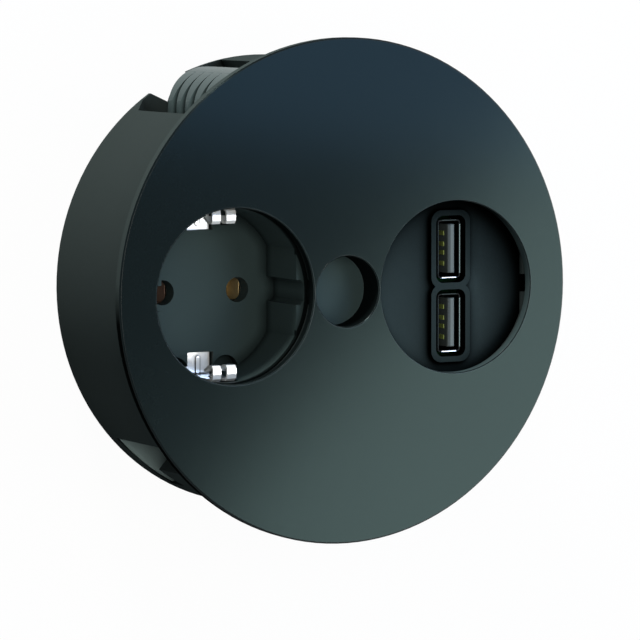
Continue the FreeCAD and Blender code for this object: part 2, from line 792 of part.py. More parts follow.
def usb_tongue(x, y):
    """Plastic tongue that stands in the shell."""
    x += tongue_offset
    tip = shell_z - tongue_recess
    body = block(x - tongue_w / 2, x + tongue_w / 2, y - tongue_h / 2, y + tongue_h / 2,
                 board_top + 1.2, tip)
    edges = [e for e in body.Edges if abs(e.BoundBox.ZMin - tip) < 1e-6]
    return body.makeChamfer(0.2, edges)


def usb_contacts(x, y):
    """Four gilt contacts on the face of the tongue."""
    x += tongue_offset - tongue_w / 2
    tip = shell_z - tongue_recess - gold_start
    return Part.makeCompound([
        block(x - gold_t, x, y + p - gold_w / 2, y + p + gold_w / 2, board_top + 1.2, tip)
        for p in gold_pitches])


# USB supply

def usb_board():
    """Circuit board behind the USB sockets."""
    x0, x1 = [well_offset + x for x in board_x]
    board = block(x0, x1, -board_half, board_half, board_under, board_top)
    return board.cut([cylinder(well_offset + x, y, small_screw_r + 0.2, board_under, board_top)
                      for x, y in board_posts])


def board_screws():
    """Two screws up through the board into the posts of the USB insert."""
    return Part.makeCompound([
        slotted_screw(well_offset + x, y, board_under, -1, small_head_r, small_head_h,
                      small_screw_r, board_t + 7)
        for x, y in board_posts])


def transformer():
    """Small switching transformer: ferrite core round a wound bobbin."""
    x, y = well_offset + core_place[0], core_place[1]
    w, h, depth = core_size
    low, mid = board_under - depth, board_under - depth / 2
    core = block(x - w / 2, x + w / 2, y - h / 5, y + h / 5, low, board_under - depth / 8)
    bobbin = rounded_block(x, y, w * 0.75, h, h / 6, mid - depth / 4, mid + depth / 4)
    flanges = [rounded_block(x, y, w * 0.82, h * 1.06, h / 8, z, z + depth / 12)
               for z in (mid - depth / 3, mid + depth / 4)]
    feet = block(x - w * 0.44, x + w * 0.44, y - h / 2, y + h / 2, mid + depth / 3, board_under)
    return fused([core, bobbin] + flanges + [feet])


def canister(place):
    """Upright electrolytic capacitor with its rolled edge."""
    x, y, r, length = place
    low = board_under - length
    return revolved([(0, board_under), (r * 0.88, board_under), (r * 0.88, board_under - r * 0.15),
                     (r, board_under - r * 0.25), (r * 0.92, board_under - r * 0.45),
                     (r, board_under - r * 0.65), (r, low + r * 0.12), (r * 0.88, low), (0, low)],
                    well_offset + x, y)


def input_capacitor():
    """Reservoir capacitor on the mains side."""
    return canister(input_can)


def output_capacitors():
    """Two smoothing capacitors on the USB side."""
    return Part.makeCompound([canister(place) for place in output_cans])


def supply_chip():
    """Controller chip under the board."""
    x, y = well_offset + chip_place[0], chip_place[1]
    w, h, t = chip_size
    leg_w, span, leg_t = chip_leg
    body = block(x - w / 2, x + w / 2, y - h / 2, y + h / 2, board_under - t - 0.15, board_under - 0.15)
    legs = [block(x + n * chip_pitch - leg_w / 2, x + n * chip_pitch + leg_w / 2, y - span / 2,
                  y + span / 2, board_under - leg_t, board_under)
            for n in (-1.5, -0.5, 0.5, 1.5)]
    return fused([body] + legs)


def nodes():
    """Every sub-part of the socket by its node name."""
    upper, lower = usb_port_places()
    return {
        "swivel_cover": swivel_cover(),
        "pivot_bush": pivot_bush(),
        "pivot_spring": pivot_spring(),
        "pivot_keeper": pivot_keeper(),
        "pivot_screw": pivot_screw(),
        "glide_ring": glide_ring(),
        "housing": housing(),
        "cable_grommet": cable_grommet(),
        "recess_plate": recess_plate(),
        "rear_cover": rear_cover(),
        "rear_screws": rear_screws(),
        "clamp_cam_a": clamp_cam(),
        "clamp_cam_b": opposite(clamp_cam()),
        "cam_spindle_a": cam_spindle(),
        "cam_spindle_b": opposite(cam_spindle()),
        "insert_screws": insert_screws(),
        "socket_insert": socket_insert(),
        "earth_bracket": earth_bracket(),
        "line_contact": pin_contact(-1),
        "neutral_contact": pin_contact(1),
        "contact_carrier": contact_carrier(),
        "carrier_screws": carrier_screws(),
        "terminal_screws": terminal_screws(),
        "usb_insert": usb_insert(),
        "usb_shell_upper": usb_shell(*upper),
        "usb_shell_lower": usb_shell(*lower),
        "usb_tongue_upper": usb_tongue(*upper),
        "usb_tongue_lower": usb_tongue(*lower),
        "usb_contacts_upper": usb_contacts(*upper),
        "usb_contacts_lower": usb_contacts(*lower),
        "usb_board": usb_board(),
        "board_screws": board_screws(),
        "transformer": transformer(),
        "input_capacitor": input_capacitor(),
        "output_capacitors": output_capacitors(),
        "supply_chip": supply_chip(),
    }


def main():
    os.makedirs("parts", exist_ok=True)
    for name, shape in nodes().items():
        if not shape.isValid():
            print("not valid:", name)
        shape.exportStep("parts/%s.step" % name)
        print("%-20s %2d solids %9.1f mm3" % (name, len(shape.Solids), shape.Volume))


main()
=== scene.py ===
import json
import math

import bmesh
import bpy
import numpy as np
from mathutils import Matrix, Vector


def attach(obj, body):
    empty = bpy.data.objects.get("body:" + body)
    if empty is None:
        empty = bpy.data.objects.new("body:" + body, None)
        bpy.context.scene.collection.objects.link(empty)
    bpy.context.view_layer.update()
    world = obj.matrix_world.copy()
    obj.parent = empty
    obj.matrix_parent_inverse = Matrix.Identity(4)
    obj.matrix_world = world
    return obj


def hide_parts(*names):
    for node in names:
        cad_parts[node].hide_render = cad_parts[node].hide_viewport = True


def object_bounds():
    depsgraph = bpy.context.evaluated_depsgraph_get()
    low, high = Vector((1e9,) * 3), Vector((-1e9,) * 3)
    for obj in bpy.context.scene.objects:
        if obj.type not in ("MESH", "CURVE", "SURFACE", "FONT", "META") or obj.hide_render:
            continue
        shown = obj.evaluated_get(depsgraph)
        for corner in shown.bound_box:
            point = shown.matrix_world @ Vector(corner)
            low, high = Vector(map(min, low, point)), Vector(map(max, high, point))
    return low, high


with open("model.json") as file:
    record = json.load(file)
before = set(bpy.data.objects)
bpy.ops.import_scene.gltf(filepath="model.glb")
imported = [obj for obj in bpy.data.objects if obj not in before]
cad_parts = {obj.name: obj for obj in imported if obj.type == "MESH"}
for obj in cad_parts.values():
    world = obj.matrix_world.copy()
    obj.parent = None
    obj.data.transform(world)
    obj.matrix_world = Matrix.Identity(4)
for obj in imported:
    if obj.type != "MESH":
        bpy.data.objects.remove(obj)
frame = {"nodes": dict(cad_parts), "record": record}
cad_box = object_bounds()
scene = bpy.context.scene
MM = 0.001

# Places on the part, from the middle of the cover
WELL_MIDDLE = (-28.5 * MM, 0, 0)
TONGUE_STEP = 29.3 * MM     # the tongues are lighter to the right of this: painted shade on their left part
COVER_TOP, COVER_REACH = 3.7 * MM, 57.5 * MM
EDGE_REACH = 57.2 * MM      # the cover's upright faces further out than this are its outer edge
CUP_REACH = 8.3 * MM        # its level faces nearer than this and lower by the drop are the cup's floor
CUP_DROP = 0.5 * MM
UPRIGHT = 0.6               # a face is upright when its normal rises by less than this, level above it

# Merged copies of the nodes: points joined within a reach, faces flat within one angle, edges sharp above another
MERGE_REACH = 2e-6
FLAT_ANGLE, SHARP_ANGLE = math.radians(0.6), math.radians(28)


# Camera, fitted to the ellipses of the cover, the wells and the housing

def set_camera():
    """Places the camera. The axes come from a yaw, a pitch and a small roll."""
    focal, yaw, pitch, roll = 4300.0, 0.500638, 0.0864857, -0.00152674
    centre, distance, middle = (348.0495, 291.6656), 16.94058, 320
    back = Vector((-math.sin(yaw) * math.cos(pitch), math.sin(pitch), math.cos(yaw) * math.cos(pitch)))
    level = Vector((math.cos(yaw), 0.0, math.sin(yaw)))
    over = back.cross(level)
    right = level * math.cos(roll) + over * math.sin(roll)
    up = over * math.cos(roll) - level * math.sin(roll)
    place = (back * distance - right * ((centre[0] - middle) * distance / focal)
             + up * ((centre[1] - middle) * distance / focal)) * COVER_REACH
    place.z += COVER_TOP
    data = bpy.data.cameras.new("camera")
    data.sensor_width = 36.0
    data.lens = focal / (2 * middle) * data.sensor_width
    data.clip_start, data.clip_end = 0.05, 20.0
    camera = bpy.data.objects.new("camera", data)
    turn = Matrix((right, up, back)).transposed().to_4x4()
    camera.matrix_world = Matrix.Translation(place) @ turn
    scene.collection.objects.link(camera)
    scene.camera = camera


def soft_lamp(name, place, aim, edge, size, power, colour):
    """Square soft box at a place, turned towards a point, one edge along a given direction."""
    data = bpy.data.lights.new(name, "AREA")
    data.shape, data.size, data.energy, data.color = "SQUARE", size, power, colour
    lamp = bpy.data.objects.new(name, data)
    back = (Vector(place) - Vector(aim)).normalized()
    over = back.cross(Vector(edge)).normalized()
    turn = Matrix((over.cross(back), over, back)).transposed().to_4x4()
    lamp.matrix_world = Matrix.Translation(place) @ turn
    scene.collection.objects.link(lamp)


# Nodes used in several trees

def socket_kind(value):
    """Socket type for a number, a vector or a colour."""
    if isinstance(value, float):
        return "NodeSocketFloat"
    return "NodeSocketVector" if len(value) == 3 else "NodeSocketColor"


def new_group(name, inputs, outputs):
    """Empty shader node group with a colour input, other inputs and named outputs."""
    tree = bpy.data.node_groups.new(name, "ShaderNodeTree")
    for label, value in [("Color", (0.02, 0.03, 0.03, 1)), *inputs]:
        socket = tree.interface.new_socket(name=label, in_out="INPUT", socket_type=socket_kind(value))
        socket.default_value = value
    for label in outputs:
        kind = "NodeSocketColor" if label == "Color" else "NodeSocketFloat"
        tree.interface.new_socket(name=label, in_out="OUTPUT", socket_type=kind)
    return tree, tree.nodes.new("NodeGroupInput"), tree.nodes.new("NodeGroupOutput")


def math_node(nodes, links, operation, a, b):
    """Math node on sockets or numbers."""
    node = nodes.new("ShaderNodeMath")
    node.operation = operation
    for socket, value in zip(node.inputs, (a, b)):
        if isinstance(value, (int, float)):
            socket.default_value = value
        else:
            links.new(value, socket)
    return node.outputs[0]


def noise_node(nodes, links, place, scale, detail, roughness=0.5):
    """Noise on Object coordinates."""
    node = nodes.new("ShaderNodeTexNoise")
    links.new(place, node.inputs["Vector"])
    if isinstance(scale, float):
        node.inputs["Scale"].default_value = scale
    else:
        links.new(scale, node.inputs["Scale"])
    node.inputs["Detail"].default_value = detail
    node.inputs["Roughness"].default_value = roughness
    return node.outputs["Fac"]


def scaled(nodes, links, colour, share):
    """Colour multiplied by a share."""
    shade = nodes.new("ShaderNodeMix")
    shade.data_type, shade.blend_type = "RGBA", "MULTIPLY"
    shade.inputs["Factor"].default_value = 1.0
    links.new(colour, shade.inputs["A"])
    links.new(share, shade.inputs["B"])
    return shade.outputs["Result"]


def seen_plainly(nodes, links):
    """One for a ray from the camera, a reflection or a clear piece, else nought."""
    path = nodes.new("ShaderNodeLightPath").outputs
    seen = math_node(nodes, links, "MAXIMUM", path["Is Camera Ray"], path["Is Glossy Ray"])
    return math_node(nodes, links, "MAXIMUM", seen, path["Is Transmission Ray"])


def set_world():
    """White to the camera and in reflections, dim grey as light."""
    world = bpy.data.worlds.new("studio")
    world.use_nodes = True
    scene.world = world
    nodes, links = world.node_tree.nodes, world.node_tree.links
    nodes.clear()
    mix = nodes.new("ShaderNodeMixShader")
    out = nodes.new("ShaderNodeOutputWorld")
    links.new(seen_plainly(nodes, links), mix.inputs["Fac"])
    for place, colour, strength in ((1, (0.86, 0.94, 1.0, 1), 0.38), (2, (1, 1, 1, 1), 1.0)):
        glow = nodes.new("ShaderNodeBackground")
        glow.inputs["Color"].default_value = colour
        glow.inputs["Strength"].default_value = strength
        links.new(glow.outputs[0], mix.inputs[place])
    links.new(mix.outputs[0], out.inputs["Surface"])


# Node groups shared by the materials

def moulded_group():
    """Moulded plastic: fine spark-eroded grain, slow tone drift and a rough break-up."""
    tree, inside, outside = new_group(
        "moulded_grain",
        [("Grain Scale", 2500.0), ("Drift", 0.08), ("Roughness", 0.4), ("Roughness Drift", 0.05)],
        ("Color", "Roughness", "Height"))
    nodes, links, given = tree.nodes, tree.links, inside.outputs
    place = nodes.new("ShaderNodeTexCoord").outputs["Object"]
    grain = noise_node(nodes, links, place, given["Grain Scale"], 3.0, 0.55)
    cloud = noise_node(nodes, links, place, 38.0, 2.0)
    speck = noise_node(nodes, links, place, 420.0, 4.0, 0.65)
    shift = math_node(nodes, links, "SUBTRACT", cloud, 0.5)
    fine = math_node(nodes, links, "SUBTRACT", speck, 0.5)
    both = math_node(nodes, links, "ADD", shift, fine)
    tone = math_node(nodes, links, "MULTIPLY", both, given["Drift"])
    gain = math_node(nodes, links, "ADD", tone, 1.0)
    links.new(scaled(nodes, links, given["Color"], gain), outside.inputs["Color"])
    rough = math_node(nodes, links, "MULTIPLY", both, given["Roughness Drift"])
    links.new(math_node(nodes, links, "ADD", rough, given["Roughness"]), outside.inputs["Roughness"])
    links.new(grain, outside.inputs["Height"])
    return tree


def metal_group():
    """Plated metal: faint scuffs and clouding that change the roughness and the tone."""
    tree, inside, outside = new_group(
        "metal_scuffs", [("Roughness", 0.2), ("Scuff Scale", 900.0), ("Scuff Amount", 0.15)],
        ("Color", "Roughness", "Height"))
    nodes, links, given = tree.nodes, tree.links, inside.outputs
    place = nodes.new("ShaderNodeTexCoord").outputs["Object"]
    stretch = nodes.new("ShaderNodeMapping")
    stretch.inputs["Scale"].default_value = (1.0, 0.25, 1.0)
    links.new(place, stretch.inputs["Vector"])
    scuff = noise_node(nodes, links, stretch.outputs["Vector"], given["Scuff Scale"], 4.0, 0.6)
    cloud = noise_node(nodes, links, place, 160.0, 2.0)
    both = math_node(nodes, links, "ADD", scuff, cloud)
    centred = math_node(nodes, links, "SUBTRACT", both, 1.0)
    amount = math_node(nodes, links, "MULTIPLY", centred, given["Scuff Amount"])
    links.new(math_node(nodes, links, "ADD", given["Roughness"], amount), outside.inputs["Roughness"])
    gain = math_node(nodes, links, "SUBTRACT", 1.0, amount)
    links.new(scaled(nodes, links, given["Color"], gain), outside.inputs["Color"])
    links.new(scuff, outside.inputs["Height"])
    return tree


def corner_group(name, own):
    """Painted shade in inner corners: a narrow painted shade all round and a wide one below the right and upper
    walls.

    With own the narrow shade comes from the piece alone, else from its neighbours too.
    """
    tree, inside, outside = new_group(
        name, [("Reach", 0.003), ("Power", 3.0), ("Wide Reach", 0.012), ("Wide Power", 0.0)], ("Color",))
    nodes, links = tree.nodes, tree.links
    lean = nodes.new("ShaderNodeCombineXYZ")
    for socket, value in zip(lean.inputs, (0.60, 0.35, 0.72)):
        socket.default_value = value
    colour = inside.outputs["Color"]
    for width, normal in (("", None), ("Wide ", lean.outputs[0])):
        hollow = nodes.new("ShaderNodeAmbientOcclusion")
        links.new(inside.outputs[width + "Reach"], hollow.inputs["Distance"])
        hollow.only_local = own and normal is None
        if normal is not None:
            links.new(normal, hollow.inputs["Normal"])
        power = inside.outputs[width + "Power"]
        colour = scaled(nodes, links, colour, math_node(nodes, links, "POWER", hollow.outputs["AO"], power))
    links.new(colour, outside.inputs["Color"])
    return tree


def tone_split_group():
    """Two tones along an axis: one share of the colour first, another after a soft change. Mostly used for
    painted light and shade on one side of a piece.
    """
    tree, inside, outside = new_group(
        "tone_split",
        [("Axis", (0.0, 0.0, 1.0)), ("Split", 0.0), ("Blend", 0.001), ("Low Share", 1.0), ("High Share", 1.0)],
        ("Color",))
    nodes, links, given = tree.nodes, tree.links, inside.outputs
    along = nodes.new("ShaderNodeVectorMath")
    along.operation = "DOT_PRODUCT"
    links.new(nodes.new("ShaderNodeTexCoord").outputs["Object"], along.inputs[0])
    links.new(given["Axis"], along.inputs[1])
    past = math_node(nodes, links, "SUBTRACT", along.outputs["Value"], given["Split"])
    beyond = math_node(nodes, links, "DIVIDE", past, given["Blend"])
    beyond.node.use_clamp = True
    gap = math_node(nodes, links, "SUBTRACT", given["High Share"], given["Low Share"])
    rise = math_node(nodes, links, "MULTIPLY", beyond, gap)
    share = math_node(nodes, links, "ADD", rise, given["Low Share"])
    links.new(scaled(nodes, links, given["Color"], share), outside.inputs["Color"])
    return tree


def ring_group():
    """One share of the colour beyond a distance from an upright axis; below a depth nothing changes."""
    tree, inside, outside = new_group(
        "ring_shade", [("Centre", (0.0, 0.0, 0.0)), ("Reach", 0.05), ("Depth", -1.0), ("Share", 0.1)],
        ("Color",))
    nodes, links, given = tree.nodes, tree.links, inside.outputs
    place = nodes.new("ShaderNodeTexCoord").outputs["Object"]
    away, level, far = [nodes.new("ShaderNodeVectorMath") for _ in range(3)]
    away.operation, level.operation, far.operation = "SUBTRACT", "MULTIPLY", "LENGTH"
    links.new(place, away.inputs[0])
    links.new(given["Centre"], away.inputs[1])
    links.new(away.outputs[0], level.inputs[0])
    level.inputs[1].default_value = (1, 1, 0)
    links.new(level.outputs[0], far.inputs[0])
    apart = nodes.new("ShaderNodeSeparateXYZ")
    links.new(place, apart.inputs[0])
    near = math_node(nodes, links, "LESS_THAN", far.outputs["Value"], given["Reach"])
    below = math_node(nodes, links, "LESS_THAN", apart.outputs["Z"], given["Depth"])
    keep = math_node(nodes, links, "MAXIMUM", near, below)
    share = math_node(nodes, links, "MAXIMUM", keep, given["Share"])
    links.new(scaled(nodes, links, given["Color"], share), outside.inputs["Color"])
    return tree


moulded_grain = moulded_group()
metal_scuffs = metal_group()
tone_split = tone_split_group()
ring_shade = ring_group()
corner_shade = corner_group("corner_shade", True)
ledge_shade = corner_group("ledge_shade", False)


# Materials

def shader_material(name):
    """Empty node material with its Principled shader."""
    material = bpy.data.materials.new(name)
    material.use_nodes = True
    nodes, links = material.node_tree.nodes, material.node_tree.links
    nodes.clear()
    shader = nodes.new("ShaderNodeBsdfPrincipled")
    out = nodes.new("ShaderNodeOutputMaterial")
    links.new(shader.outputs[0], out.inputs["Surface"])
    return material, nodes, links, shader


def group_node(nodes, tree, values):
    """Group node with its own input values."""
    group = nodes.new("ShaderNodeGroup")
    group.node_tree = tree
    for label, value in values.items():
        group.inputs[label].default_value = value
    return group


def surface(name, tree, values, strength, depth):
    """Material whose colour, roughness and bump come from one group."""
    material, nodes, links, shader = shader_material(name)
    group = group_node(nodes, tree, values)
    links.new(group.outputs["Color"], shader.inputs["Base Color"])
    links.new(group.outputs["Roughness"], shader.inputs["Roughness"])
    bump = nodes.new("ShaderNodeBump")
    bump.inputs["Strength"].default_value = strength
    bump.inputs["Distance"].default_value = depth
    links.new(group.outputs["Height"], bump.inputs["Height"])
    links.new(bump.outputs["Normal"], shader.inputs["Normal"])
    return material, shader


def moulded(name, colour, roughness, grain, depth, specular=0.5, spread=0.06, tint=(1, 1, 1)):
    """Moulded plastic with its own grain, roughness drift and gloss."""
    material, shader = surface(name, moulded_grain, {
        "Color": (*colour, 1), "Grain Scale": grain, "Roughness": roughness, "Roughness Drift": spread},
        0.35, depth)
    shader.inputs["Specular IOR Level"].default_value = specular
    shader.inputs["Specular Tint"].default_value = (*tint, 1)
    return material


def plated(name, colour, roughness, scuff_scale=900.0, scuff=0.15, metallic=1.0):
    """Plated or bare metal with faint scuffs."""
    material, shader = surface(name, metal_scuffs, {
        "Color": (*colour, 1), "Roughness": roughness, "Scuff Scale": scuff_scale, "Scuff Amount": scuff},
        0.25, 0.01 * MM)
    shader.inputs["Metallic"].default_value = metallic
    return material


def before_base(material, tree, values):
    """Puts a group of the colour before the shader's base colour."""
    nodes, links = material.node_tree.nodes, material.node_tree.links
    shader = next(n for n in nodes if n.bl_idname == "ShaderNodeBsdfPrincipled")
    base = shader.inputs["Base Color"]
    group = group_node(nodes, tree, values)
    links.new(base.links[0].from_socket, group.inputs["Color"])
    links.new(group.outputs["Color"], base)
    return material


def shaded_corners(material, reach, power, wide_reach=0.012, wide_power=0.0, tree=corner_shade):
    """Moulded or plated piece with painted shade in its inner corners."""
    return before_base(material, tree, {
        "Reach": reach, "Power": power, "Wide Reach": wide_reach, "Wide Power": wide_power})


def tone_split_along(material, axis, split, blend, low_share, high_share):
    """Piece with two tones along an axis."""
    return before_base(material, tone_split, {
        "Axis": axis, "Split": split, "Blend": blend, "Low Share": low_share, "High Share": high_share})


def ring_dark(material, centre, reach, depth, share):
    """Piece with painted shade beyond a distance from an upright axis."""
    return before_base(material, ring_shade, {
        "Centre": centre, "Reach": reach, "Depth": depth, "Share": share})


SHEEN = (0.63, 0.98, 1.0)   # tint of the reflections on the dark plastics

# Numbers after the colour. moulded: roughness, grain scale and height, gloss, roughness drift.
# plated: roughness, scuff scale and amount. shaded_corners: reach and power, then those of the wide shade.
cover_plastic = moulded("cover_plastic", (0.0014, 0.0025, 0.0031), 0.136, 3200.0, 0.01 * MM, 0.095, 0.02, SHEEN)
# Floor of the finger cup: a lighter copy of the cover plastic, painted light in the recess.
cup_plastic = moulded("cup_plastic", (0.0310, 0.0460, 0.0465), 0.45, 3200.0, 0.01 * MM, 0.0, 0.05)
# Outer edge of the cover: painted light on its upper side and painted shade below, falling to a twentieth of the
# colour towards -Y.
edge_plastic = tone_split_along(
    moulded("edge_plastic", (0.0205, 0.0265, 0.0262), 0.45, 3200.0, 0.01 * MM, 0.0, 0.05),
    axis=(0, 1, 0), split=-5.0 * MM, blend=9.0 * MM, low_share=0.05, high_share=1.0)
# Walls of the openings: painted light far along +X and -Y, on the lower right of the port opening, and painted
# shade of 0.12 of the colour elsewhere.
wall_plastic = tone_split_along(
    moulded("wall_plastic", (0.0250, 0.0370, 0.0385), 0.45, 3200.0, 0.01 * MM, 0.0, 0.05),
    axis=(0.87, -0.5, 0), split=26.0 * MM, blend=9.0 * MM, low_share=0.12, high_share=1.0)
# Rounded edges of the cover: far lighter and glossier than the cover, a painted highlight; beyond 56 mm from the
# middle, on the outer edge, it falls to 0.04 of the colour.
painted_edge_highlight = ring_dark(
    moulded("painted_edge_highlight", (0.060, 0.078, 0.078), 0.25, 3200.0, 0.01 * MM, 0.3, 0.02),
    centre=(0, 0, 0), reach=56.0 * MM, depth=-1.0, share=0.04)
# Housing: painted shade in its pockets and inner corners.
housing_plastic = shaded_corners(
    moulded("housing_plastic", (0.0172, 0.0220, 0.0218), 0.45, 2200.0, 0.04 * MM, 0.0), 0.008, 2.5)
# Socket insert: painted shade in corners near the cover, and painted shade at 0.12 of the colour on its top ledge
# under the cover's edge, beyond 19.1 mm from the well's middle.
insert_plastic = ring_dark(
    shaded_corners(
        moulded("insert_plastic", (0.0280, 0.0405, 0.0405), 0.40, 3000.0, 0.02 * MM, 0.02, 0.05, SHEEN),
        0.003, 1.5, tree=ledge_shade),
    centre=WELL_MIDDLE, reach=19.1 * MM, depth=-0.7 * MM, share=0.12)
# USB insert: painted shade round the raised frames and a wide painted shade below the right and upper walls;
# above 0.6 mm the colour falls to 0.74.
port_plastic = tone_split_along(
    shaded_corners(
        moulded("port_plastic", (0.0340, 0.0485, 0.0495), 0.40, 3000.0, 0.02 * MM, 0.0, 0.05, SHEEN),
        0.003, 4.0, 0.014, 3.5),
    axis=(0, 0, 1), split=0.6 * MM, blend=0.3 * MM, low_share=1.0, high_share=0.74)
# Clamp cams: painted shade in the grooves between the ribs.
cam_plastic = shaded_corners(
    moulded("cam_plastic", (0.0265, 0.0375, 0.0380), 0.34, 2600.0, 0.02 * MM, 0.08, 0.06, SHEEN), 0.0016, 4.5)
# Recess plate: light grey as painted light in the cable recess, with painted shade near the housing's walls.
plate_plastic = shaded_corners(
    moulded("plate_plastic", (0.262, 0.33, 0.32), 0.30, 1500.0, 0.01 * MM), 0.012, 1.2, tree=ledge_shade)
# USB tongues: painted shade on their left part, at 0.42 of the colour left of TONGUE_STEP.
tongue_plastic = tone_split_along(
    moulded("tongue_plastic", (0.095, 0.112, 0.110), 0.35, 1500.0, 0.01 * MM, specular=0.05),
    axis=(1, 0, 0), split=TONGUE_STEP, blend=0.05 * MM, low_share=0.42, high_share=1.0)
carrier_plastic = moulded("carrier_plastic", (0.42, 0.40, 0.34), 0.5, 1800.0, 0.04 * MM)
bush_plastic = moulded("bush_plastic", (0.66, 0.66, 0.62), 0.35, 1500.0, 0.02 * MM)
grommet_rubber = moulded("grommet_rubber", (0.010, 0.010, 0.011), 0.7, 1400.0, 0.05 * MM)
ferrite_core = moulded("ferrite_core", (0.035, 0.034, 0.036), 0.6, 1200.0, 0.06 * MM)
capacitor_sleeve = moulded("capacitor_sleeve", (0.008, 0.010, 0.018), 0.25, 900.0, 0.01 * MM)
chip_case = moulded("chip_case", (0.012, 0.012, 0.013), 0.55, 2600.0, 0.04 * MM)
board_mask = moulded("board_mask", (0.010, 0.075, 0.030), 0.3, 700.0, 0.01 * MM)
# Bright metal: 60 % metallic over a pale base, so its diffuse part paints the bright reflections; painted shade
# in its tight corners.
nickel = shaded_corners(plated("nickel", (0.98, 0.98, 0.97), 0.18, 700.0, 0.05, metallic=0.6), 0.0006, 5.0)
# Shells nearly black and side and top tabs dim: painted shade, the steel is darker than its plating.
port_shell = plated("port_shell", (0.003, 0.0034, 0.0036), 0.30, scuff=0.06)
lip_steel = plated("lip_steel", (0.060, 0.082, 0.088), 0.20, scuff=0.06)
plated_steel = plated("plated_steel", (0.52, 0.53, 0.55), 0.28, 1200.0, 0.2)
spring_steel = plated("spring_steel", (0.30, 0.31, 0.33), 0.3, 1000.0)
brass = plated("brass", (0.36, 0.265, 0.13), 0.36)
dull_brass = plated("dull_brass", (0.17, 0.11, 0.085), 0.45)
gilt = plated("gilt", (0.62, 0.74, 0.22), 0.50, scuff=0.1)

FINISH = {
    "swivel_cover": cover_plastic, "pivot_bush": bush_plastic, "pivot_spring": spring_steel,
    "pivot_keeper": plated_steel, "pivot_screw": plated_steel, "glide_ring": bush_plastic,
    "housing": housing_plastic, "cable_grommet": grommet_rubber, "rear_cover": housing_plastic,
    "recess_plate": plate_plastic, "rear_screws": plated_steel,
    "clamp_cam_a": cam_plastic, "clamp_cam_b": cam_plastic,
    "cam_spindle_a": plated_steel, "cam_spindle_b": plated_steel, "insert_screws": plated_steel,
    "socket_insert": insert_plastic, "earth_bracket": nickel, "line_contact": dull_brass,
    "neutral_contact": brass, "contact_carrier": carrier_plastic, "carrier_screws": plated_steel,
    "terminal_screws": plated_steel, "usb_insert": port_plastic, "usb_shell_upper": port_shell,
    "usb_shell_lower": port_shell, "usb_tongue_upper": tongue_plastic, "usb_tongue_lower": tongue_plastic,
    "usb_contacts_upper": gilt, "usb_contacts_lower": gilt, "usb_board": board_mask,
    "board_screws": plated_steel, "transformer": ferrite_core, "input_capacitor": capacitor_sleeve,
    "output_capacitors": capacitor_sleeve, "supply_chip": chip_case}

# Edge rounding in millimetres: the nodes named are dressed as merged copies with soft edges
SOFT_EDGES = {
    "swivel_cover": 0.12, "housing": 0.18, "rear_cover": 0.2, "clamp_cam_a": 0.15, "clamp_cam_b": 0.15,
    "socket_insert": 0.2, "usb_insert": 0.4, "earth_bracket": 0.12, "usb_shell_upper": 0.08,
    "usb_shell_lower": 0.08, "usb_tongue_upper": 0.1, "usb_tongue_lower": 0.1, "cam_spindle_a": 0.15,
    "cam_spindle_b": 0.15, "cable_grommet": 0.15, "contact_carrier": 0.3, "line_contact": 0.1,
    "neutral_contact": 0.1, "transformer": 0.2}

body_of_node = {member: body for body, members in frame["record"]["behaviour"]["bodies"].items()
                for member in members}


# Pieces

def smooth_between_edges(mesh, angle):
    """Smooth faces, with the edges above an angle kept sharp."""
    mesh.polygons.foreach_set("use_smooth", np.ones(len(mesh.polygons), bool))
    mesh.set_sharp_from_angle(angle=angle)


def soft_edged(node, width):
    """Merged copy of a node: flat faces joined, edges rounded by a small bevel."""
    source = frame["nodes"][node]
    mesh = source.data.copy()
    mesh.materials.clear()
    work = bmesh.new()
    work.from_mesh(mesh)
    bmesh.ops.remove_doubles(work, verts=work.verts, dist=MERGE_REACH)
    bmesh.ops.dissolve_limit(work, angle_limit=FLAT_ANGLE, verts=work.verts, edges=work.edges)
    bmesh.ops.triangulate(work, faces=[f for f in work.faces if len(f.verts) > 4], ngon_method="BEAUTY")
    work.to_mesh(mesh)
    work.free()
    piece = bpy.data.objects.new(node + "_dressed", mesh)
    scene.collection.objects.link(piece)
    smooth_between_edges(mesh, SHARP_ANGLE)
    rounding = piece.modifiers.new("rounding", "BEVEL")
    rounding.width, rounding.segments = width * MM, 2
    rounding.limit_method, rounding.angle_limit = "ANGLE", SHARP_ANGLE
    rounding.use_clamp_overlap = True
    even = piece.modifiers.new("flat_faces", "WEIGHTED_NORMAL")
    even.mode, even.weight, even.keep_sharp = "FACE_AREA", 80, True
    mesh.materials.append(FINISH[node])
    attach(piece, body_of_node[node])
    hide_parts(node)
    return piece


def cover_painted_light(piece):
    """Own materials on the cover, with painted light and shade: outer edge, walls of the openings, lighter floor
    of the cup and painted highlights on the rounded edges.
    """
    mesh = piece.data
    centre, normal = np.empty(len(mesh.polygons) * 3), np.empty(len(mesh.polygons) * 3)
    mesh.polygons.foreach_get("center", centre)
    mesh.polygons.foreach_get("normal", normal)
    centre, normal = centre.reshape(-1, 3), normal.reshape(-1, 3)
    reach, rise, height = np.hypot(centre[:, 0], centre[:, 1]), normal[:, 2], centre[:, 2]
    cup = (reach < CUP_REACH) & (rise > UPRIGHT) & (height < height.max() - CUP_DROP)
    place = np.where(np.abs(rise) < UPRIGHT, np.where(reach > EDGE_REACH, 1, 2), np.where(cup, 3, 0))
    for finish in (edge_plastic, wall_plastic, cup_plastic, painted_edge_highlight):     # places 1 to 4
        mesh.materials.append(finish)
    mesh.polygons.foreach_set("material_index", place.astype(np.int32))
    piece.modifiers["rounding"].material = 4


